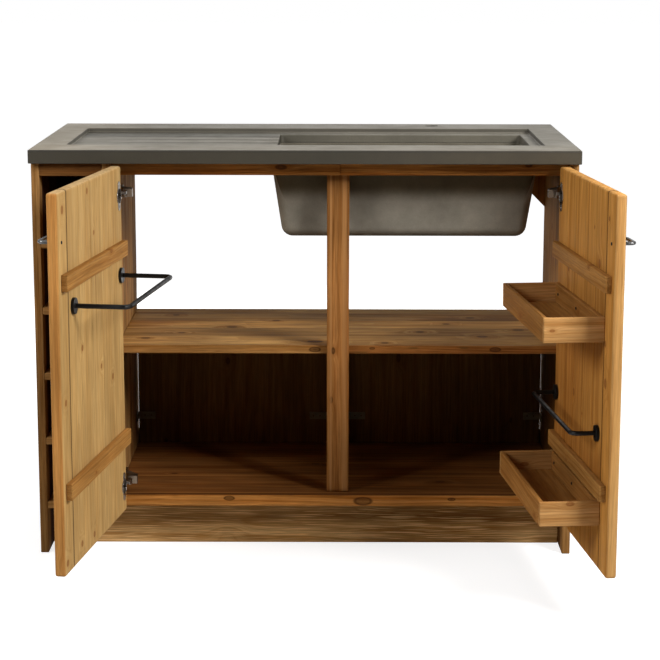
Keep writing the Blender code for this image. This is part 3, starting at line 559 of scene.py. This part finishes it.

# Bottom board: painted light on the front edge, kept far lighter than the board's shaded top, and the
# joints of its boards
(_, FLOOR_EDGE_Y, FLOOR_LOW_Z), (_, _, FLOOR_HIGH_Z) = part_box("bottom_board")
FLOOR_MID_Z = (FLOOR_LOW_Z + FLOOR_HIGH_Z) / 2
FLOOR_EDGE = [(FLOOR_MID_Z + up, x, radius) for up, x, radius in FLOOR_EDGE_KNOTS]
LIT_FLOOR_EDGE = ((2.75, 3.0, 2.75), (near(Y, FLOOR_EDGE_Y, *LOW_SKIN),))
FLOOR_LINES = (
    (FLOOR_EDGE_Y + 0.014, 0.0045, 0.55, KNOT), (FLOOR_EDGE_Y + 0.022, 0.0035, 0.55, FLOOR_PALE),
    (FLOOR_EDGE_Y + 0.170, 0.0060, 0.55, FLOOR_PALE), (FLOOR_EDGE_Y + 0.290, 0.0060, 0.30, FLOOR_PALE),
)
BEHIND_FRONT = near(Y, FLOOR_EDGE_Y, 0.004, 0.020)

# Centre stile: painted highlights as pale lines beside its edges, and painted shade that makes it
# darker towards the top
STILE_LEFT, STILE_RIGHT = (corner[X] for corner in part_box("centre_stile"))
STILE_HIGHLIGHTS = (
    (STILE_LEFT + 0.009, 0.0025, 0.55, STILE_PALE), (STILE_RIGHT - 0.010, 0.005, 0.50, STILE_PALE),
)
STILE_TOP_SHADE = ((0.70, 0.70, 0.68), ((Z, 0.60, 0.72),))

# Middle shelf: front edge, with painted shade that makes it darker to the right of the stile
(_, SHELF_EDGE_Y, SHELF_UNDER_Z), (_, _, SHELF_TOP_Z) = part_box("middle_shelf")
SHELF_MID_Z = (SHELF_UNDER_Z + SHELF_TOP_Z) / 2
SHELF_EDGE = [(SHELF_MID_Z + up, x, radius) for up, x, radius in SHELF_EDGE_KNOTS]
SHELF_FRONT = near(Y, SHELF_EDGE_Y, *LOW_SKIN)
SHELF_RIM = ((0.94, 0.86, 0.80), (SHELF_FRONT,))
SHELF_EDGE_SHADE_RIGHT = ((0.90, 0.70, 0.58), (SHELF_FRONT, (X, STILE_LEFT, STILE_RIGHT)))

# Side panels: painted shade and light on their inner faces: shade inside the rack on the left, and on
# the right shade below the shelf and light above it
PANEL_INNER = near(X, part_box("side_panel_right")[0][X], *LOW_SKIN)
RACK_INNER = near(X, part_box("side_panel_left")[1][X], *HIGH_SKIN)
SHADE_BELOW_SHELF = ((0.30, 0.24, 0.18), (near(Z, SHELF_UNDER_Z, 0.004, 0.0), PANEL_INNER, BEHIND_FRONT))
LIGHT_ABOVE_SHELF = ((1.14, 1.03, 0.78), (near(Z, SHELF_UNDER_Z, 0.0, 0.004), PANEL_INNER))
RACK_SHADE = ((0.20, 0.18, 0.40), (RACK_INNER, BEHIND_FRONT))

# Kick board: painted shadow along its upper edge, painted shade on its right part and painted light in
# its middle
KICK_LIGHT_AND_SHADE = (
    ((0.70, 0.64, 0.57), ((Z, 0.040, 0.062),)),
    ((0.74, 0.66, 0.54), ((X, 0.14, 0.25), (X, 0.47, 0.42))),
    ((1.28, 1.34, 1.40), ((X, -0.20, -0.03), (X, 0.17, 0.07), (Z, 0.060, 0.040))),
)

# Carcass: axes, colour, knots given or counted, and what sets the piece apart
SIDE = {"staves": 0.090, "brushed": 0.12, "contrast": 1.4, "gloss": 0.01}
CARCASS = {
    "side_panel_left": (UPRIGHT_SIDE, PANEL, 7, {**SIDE, "zones": (RACK_SHADE,)}),
    "side_panel_right": (UPRIGHT_SIDE, PANEL, 7, {**SIDE, "zones": (SHADE_BELOW_SHELF, LIGHT_ABOVE_SHELF)}),
    "rack_partition": (UPRIGHT_SIDE, PANEL, 6, {
        "staves": 0.047, "seams": 0.8, "brushed": 0.08, "stave_range": 0.35, "contrast": 1.6,
        "gloss": 0.01,
    }),
    "rack_back": (UPRIGHT_FACE, BACK, 2, {"gloss": 0.02}),
    "rack_top_rail": (LEVEL_FACE, SHADED_RACK_RAIL, 0, {"contrast": 1.3}),
    "top_rail_front_left": (LEVEL_FACE, RAIL, 1, {"contrast": 1.4}),
    "top_rail_front_right": (LEVEL_FACE, RAIL, 1, {"contrast": 1.4}),
    "top_rail_rear": (LEVEL_FACE, RAIL, 3, {}),
    "bottom_board": (LEVEL_TOP, FLOOR_BOARD, FLOOR_KNOTS, {
        "staves": 0.118, "contrast": 1.4, "zones": (LIT_FLOOR_EDGE,), "edge_knots": FLOOR_EDGE,
        "lines": FLOOR_LINES,
    }),
    "middle_shelf": (LEVEL_TOP, SHELF, SHELF_KNOTS, {
        "staves": 0.094, "contrast": 1.5, "stave_range": 0.42, "seams": 0.75, "flecks": 0.9,
        "zones": (SHELF_RIM, SHELF_EDGE_SHADE_RIGHT), "knot_length": 1.3, "edge_knots": SHELF_EDGE,
    }),
    "centre_stile": (UPRIGHT_FACE, STILE, STILE_KNOTS, {
        "edge": 0.006, "wear": 0.3, "contrast": 1.2, "lines": STILE_HIGHLIGHTS, "zones": (STILE_TOP_SHADE,),
    }),
    "rear_post": (UPRIGHT_FACE, STILE, 1, {}),
    "back_panel_left": (UPRIGHT_FACE, BACK, 2, {"gloss": 0.02}),
    "back_panel_right": (UPRIGHT_FACE, BACK, 2, {"gloss": 0.02}),
    "back_cleat": (LEVEL_FACE, BACK, 1, {}),
    "kick_board": (LEVEL_FACE, KICK, KICK_KNOTS, {
        "brushed": 0.9, "contrast": 1.2, "knot_shade": 0.12, "zones": KICK_LIGHT_AND_SHADE,
    }),
    "corner_gusset": (UPRIGHT_FACE, RAIL, 0, {}),
}
CARCASS.update({f"rack_shelf_{i}": (LEVEL_TOP, PANEL, 3, {"staves": 0.11}) for i in range(1, 6)})
for seed, (name, (axes, tone, knots, extra)) in enumerate(CARCASS.items()):
    spots = scatter(name, axes, knots, seed) if isinstance(knots, int) else knots
    dress(name, wood(name, tone, axes, seed, knots=spots, **extra))

# Doors: tints of the free edge, the top edge and the outer face, and on the right door's inner face
# painted shade low down and painted light in the middle and at the foot
DOOR_RIM = {"left": (0.96, 0.72, 0.53), "right": (0.90, 1.02, 1.50)}
TOP_RIM = (1.10, 1.18, 1.48)
OUTER_FACE = (Y, 0.004, 0.001)
INNER_FACE = ((X, -EDGE_BOARD_U - 0.001, -EDGE_BOARD_U), (Y, 0.004, 0.008))
# Painted shade and light on the right door's inner face: darker low down, lighter in the middle and at
# the foot
DOOR_LOW_SHADE = ((0.74, 0.66, 0.62), ((Z, 0.68, 0.58), *INNER_FACE))
DOOR_MIDDLE_LIGHT = ((1.17, 1.27, 1.34), ((Z, 0.29, 0.37), (Z, 0.56, 0.48), (X, -0.18, -0.29), *INNER_FACE))
DOOR_FOOT_LIGHT = ((1.28, 1.36, 1.18), ((Z, 0.24, 0.18), *INNER_FACE))
DOOR_PAINTED_LIGHT = {"left": (), "right": (DOOR_LOW_SHADE, DOOR_MIDDLE_LIGHT, DOOR_FOOT_LIGHT)}
EDGE_LINE_HALF, EDGE_LINE_STRENGTH = 0.0032, 0.85
DOOR_SEED = 60
BATTEN_KNOT_SEED = 70
BATTEN_SEED = 74
HEIGHTS = ("upper", "lower")
for label, tone in (("left", DOOR_LEFT), ("right", DOOR_RIGHT)):
    side = DOOR_SIDE[label]
    place = hinge_place(label)
    spots = [(side * u, z, DOOR_KNOT_SWELL * radius) for u, z, radius in DOOR_KNOTS[label]]
    top_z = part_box(f"door_{label}")[1][Z]
    free_edge = (DOOR_RIM[label], ((X, side * (DOOR_WIDTH - 0.004), side * (DOOR_WIDTH - 0.001)),))
    top_edge = (TOP_RIM, (near(Z, top_z, -0.004, -0.001),))
    outside = ([out / own for out, own in zip(DOOR_OUT, tone)], (OUTER_FACE,))
    dress(f"door_{label}", wood(
        f"door_{label}", tone, UPRIGHT_FACE, DOOR_SEED + side, place, DOOR_BOARD, spots,
        contrast=0.85, seams=0.55, stave_range=0.06, knot_tone=KNOT_SOFT, knot_length=1.0,
        lines=((side * EDGE_BOARD_U, EDGE_LINE_HALF, EDGE_LINE_STRENGTH, KNOT),),
        zones=(free_edge, top_edge, outside, *DOOR_PAINTED_LIGHT[label]),
    ))
    for row, height in enumerate(HEIGHTS):
        name = f"batten_{label}_{height}"
        spots = scatter(name, LEVEL_FACE, 1, BATTEN_KNOT_SEED + row, place)
        seed = BATTEN_SEED + 2 * row + side
        dress(name, wood(name, BATTEN, LEVEL_FACE, seed, place, knots=spots, knot_tone=KNOT_SOFT))

# Trays on the right door
TRAY_AXES = {
    "front": LEVEL_FACE, "back": LEVEL_FACE, "end_hinge": DEEP_FACE, "end_free": DEEP_FACE,
    "bottom": LEVEL_TOP,
}
TRAY_SEEDS = {"upper": 80, "lower": 90}
for height in HEIGHTS:
    place = hinge_place("right")
    for seed, (piece, axes) in enumerate(TRAY_AXES.items(), TRAY_SEEDS[height]):
        name = f"tray_{height}_{piece}"
        tone = TRAY_END if piece.startswith("end") else TRAY
        spots = scatter(name, axes, 1, seed, place)
        dress(name, wood(name, tone, axes, seed, place, knots=spots, knot_tone=KNOT_SOFT))

# Metal, by the start of a node's name
iron = metal("black_iron_coat", (0.0060, 0.0055, 0.0050), 0.36, 0.16, 0.0, 900.0, 1.0)
gloss_iron = metal("polished_black_iron", (0.012, 0.011, 0.010), 0.24, 0.60, 0.0, 900.0, 6.0)
steel = metal("plated_steel", (0.33, 0.30, 0.27), 0.30, 0.5, 1.0, 600.0, 2.0)
# Hinge arms: the warm brown of this steel is a painted reflection of the wood around it
arm_steel = metal("steel_with_painted_wood_reflection", (0.200, 0.155, 0.115), 0.34, 0.5, 1.0, 600.0, 4.0)
dull_steel = metal("dull_steel", (0.150, 0.112, 0.064), 0.55, 0.2, 0.0, 600.0, 5.0)
FINISHES = {
    "rail_": iron, "handle_": gloss_iron, "back_bracket_": dull_steel,
    "hinge_arm": arm_steel, "hinge_cup": steel, "hinge_link": steel,
}
for name in nodes:
    for start, finish in FINISHES.items():
        if name.startswith(start):
            dress(name, finish)

# Screw heads: rings from the middle out as share of the radius and rise, then sizes and places
SCREW_TURNS = 24
SCREW_RINGS = ((0.22, 0.26), (0.45, 0.52), (0.75, 0.46), (0.95, 0.26), (1.0, 0.0))
SCREW_RECESS = 0.12
CROSS_SHARE, CROSS_WIDTH = 0.6, 0.3
TRAY_SCREW_R = 0.0034
CUP_SCREW_R = 0.0030
BOLT_R = 0.0036
CUP_U = 0.0225
CUP_SCREW_OFF = 0.0235
FLANGE_V = DOOR_THICK + 0.0015
BOLT_U = 0.473
TRAY_SCREWS_U = (0.055, 0.227, 0.399)
TRAY_SCREW_UP = 0.6


def screw_head(bm, at, facing, radius):
    """A domed head with a cross recess, standing on a surface and facing along a direction."""
    aim = Vector(facing).to_track_quat("Z", "Y").to_matrix().to_4x4()
    aim.translation = Vector(at)
    loops = []
    for share, rise in SCREW_RINGS:
        loop = []
        for i in range(SCREW_TURNS):
            angle = 2 * math.pi * i / SCREW_TURNS
            in_cross = share < CROSS_SHARE and abs(math.sin(2 * angle)) < CROSS_WIDTH
            height = SCREW_RECESS if in_cross else rise
            spot = Vector((share * math.cos(angle), share * math.sin(angle), height))
            loop.append(bm.verts.new(aim @ (spot * radius)))
        loops.append(loop)
    tip = bm.verts.new(aim @ Vector((0, 0, SCREW_RECESS * radius)))
    for i in range(SCREW_TURNS):
        j = (i + 1) % SCREW_TURNS
        bm.faces.new((tip, loops[0][i], loops[0][j]))
        for inner, outer in zip(loops, loops[1:]):
            bm.faces.new((inner[i], outer[i], outer[j], inner[j]))
    bm.faces.new(list(reversed(loops[-1])))


def screws(name, label, spots, radius, finish):
    """Screw heads on the inner side of a door, each given along, through and up it, as one piece."""
    origin, turn = hinge_place(label)
    spin = Matrix.Rotation(turn, 3, "Z")
    bm = bmesh.new()
    for u, v, z in spots:
        at = Vector(origin) + spin @ Vector((DOOR_SIDE[label] * u, v, z))
        screw_head(bm, at, spin @ Vector((0, 1, 0)), radius)
    mesh = bpy.data.meshes.new(name)
    bm.to_mesh(mesh)
    bm.free()
    mesh.shade_smooth()
    mesh.materials.append(finish)
    made = bpy.data.objects.new(name, mesh)
    bpy.context.scene.collection.objects.link(made)
    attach(made, f"door_{label}")


for label in DOOR_SIDE:
    place = hinge_place(label)
    cups = [local_box(f"hinge_cup_{label}_{height}", place) for height in ("top", "bottom")]
    middles = [(low[Z] + high[Z]) / 2 for low, high in cups]
    spots = [(CUP_U, FLANGE_V, z + off) for z in middles for off in (-CUP_SCREW_OFF, CUP_SCREW_OFF)]
    screws(f"cup_screws_{label}", label, spots, CUP_SCREW_R, steel)
    low, high = local_box(f"handle_{label}", place)
    spots = [(BOLT_U, DOOR_THICK, (low[Z] + high[Z]) / 2)]
    screws(f"handle_bolt_{label}", label, spots, BOLT_R, iron)
for height in HEIGHTS:
    low, high = local_box(f"tray_{height}_back", hinge_place("right"))
    screw_z = TRAY_SCREW_UP * high[Z] + (1 - TRAY_SCREW_UP) * low[Z]
    spots = [(u, high[Y], screw_z) for u in TRAY_SCREWS_U]
    screws(f"tray_screws_{height}", "right", spots, TRAY_SCREW_R, iron)

# Camera
camera = bpy.data.cameras.new("camera")
camera.sensor_width = SENSOR_MM
camera.lens = FOCAL_PX / PICTURE * SENSOR_MM
forward = Vector((math.sin(YAW) * math.cos(PITCH), math.cos(YAW) * math.cos(PITCH), -math.sin(PITCH)))
level = Vector((math.cos(YAW), -math.sin(YAW), 0.0))
upward = level.cross(forward)
right = level * math.cos(ROLL) + upward * math.sin(ROLL)
top = upward * math.cos(ROLL) - level * math.sin(ROLL)
eye = bpy.data.objects.new("camera", camera)
eye.matrix_world = Matrix.Translation(EYE) @ Matrix((right, top, -forward)).transposed().to_4x4()
bpy.context.scene.collection.objects.link(eye)
bpy.context.scene.camera = eye

# Lamps: softboxes about the cabinet
for name, (azimuth, elevation, width, height, power) in LAMPS.items():
    lamp = bpy.data.lights.new(name, "AREA")
    lamp.shape = "RECTANGLE"
    lamp.size, lamp.size_y = width, height
    lamp.energy = power
    made = bpy.data.objects.new(name, lamp)
    turn, rise = math.radians(azimuth), math.radians(elevation)
    away = Vector((math.sin(turn) * math.cos(rise), -math.cos(turn) * math.cos(rise), math.sin(rise)))
    made.location = LAMP_AIM + away * LAMP_DISTANCE
    made.rotation_euler = away.to_track_quat("Z", "Y").to_euler()
    made.visible_camera = False
    made.visible_glossy = name != "backdrop"
    bpy.context.scene.collection.objects.link(made)

# World: white where it is seen, and in reflections a white backdrop and a dim room in front
world = bpy.data.worlds.new("studio")
bpy.context.scene.world = world
world.use_nodes = True
sky = world.node_tree


def sky_node(kind, *inputs, **settings):
    """Add a node to the world, with its settings and inputs in order."""
    made = sky.nodes.new("ShaderNode" + kind)
    for key, value in settings.items():
        setattr(made, key, value)
    for socket, value in zip(made.inputs, inputs):
        if isinstance(value, bpy.types.NodeSocket):
            sky.links.new(value, socket)
        else:
            socket.default_value = value
    return made.outputs


seen = sky_node("LightPath")
toward = sky_node("SeparateXYZ", sky_node("TexCoord")["Generated"])[Y]
backdrop = sky_node("MapRange", toward, BACKDROP_STARTS, BACKDROP_FULL, ROOM, 1.0)[0]
mirrored = sky_node("Math", seen["Is Glossy Ray"], seen["Is Transmission Ray"], operation="MAXIMUM")[0]
mirrored = sky_node("Math", mirrored, backdrop, operation="MULTIPLY")[0]
shown = sky_node("Math", mirrored, seen["Is Camera Ray"], operation="MAXIMUM")[0]
strength = sky_node("Math", shown, AMBIENT, operation="MAXIMUM")[0]
sky.nodes["Background"].inputs["Color"].default_value = (1.0, 1.0, 1.0, 1.0)
sky.links.new(strength, sky.nodes["Background"].inputs["Strength"])

# Floor: pale, white where it is seen and lit, with the cabinet's soft shadow
sheet = bmesh.new()
bmesh.ops.create_grid(sheet, x_segments=1, y_segments=1, size=FLOOR_REACH)
floor_mesh = bpy.data.meshes.new("floor")
sheet.to_mesh(floor_mesh)
sheet.free()
floor = bpy.data.objects.new("floor", floor_mesh)
floor.location = (0.0, 0.0, -FLOOR_DROP)
bpy.context.scene.collection.objects.link(floor)
pale = Graph("pale_floor")
path = pale.node("LightPath").outputs
viewed = pale.math("MAXIMUM", path["Is Camera Ray"], path["Is Glossy Ray"])
viewed = pale.math("MAXIMUM", viewed, path["Is Transmission Ray"])
spot = pale.node("TexCoord").outputs["Object"]
away = pale.node("VectorMath", {0: spot}, operation="LENGTH").outputs["Value"]
glow = pale.times(pale.spread(away, GLOW_CLOSE_M, GLOW_FAR_M, GLOW_CLOSE, GLOW_FAR), viewed)
pale.surface(Base_Color=(FLOOR_GREY, FLOOR_GREY, FLOOR_GREY), Roughness=0.9, Specular_IOR_Level=0.0,
             Emission_Color=(1.0, 1.0, 1.0), Emission_Strength=glow)
floor_mesh.materials.append(pale.material)

bpy.context.scene.view_settings.view_transform = "Standard"
bpy.context.view_layer.update()
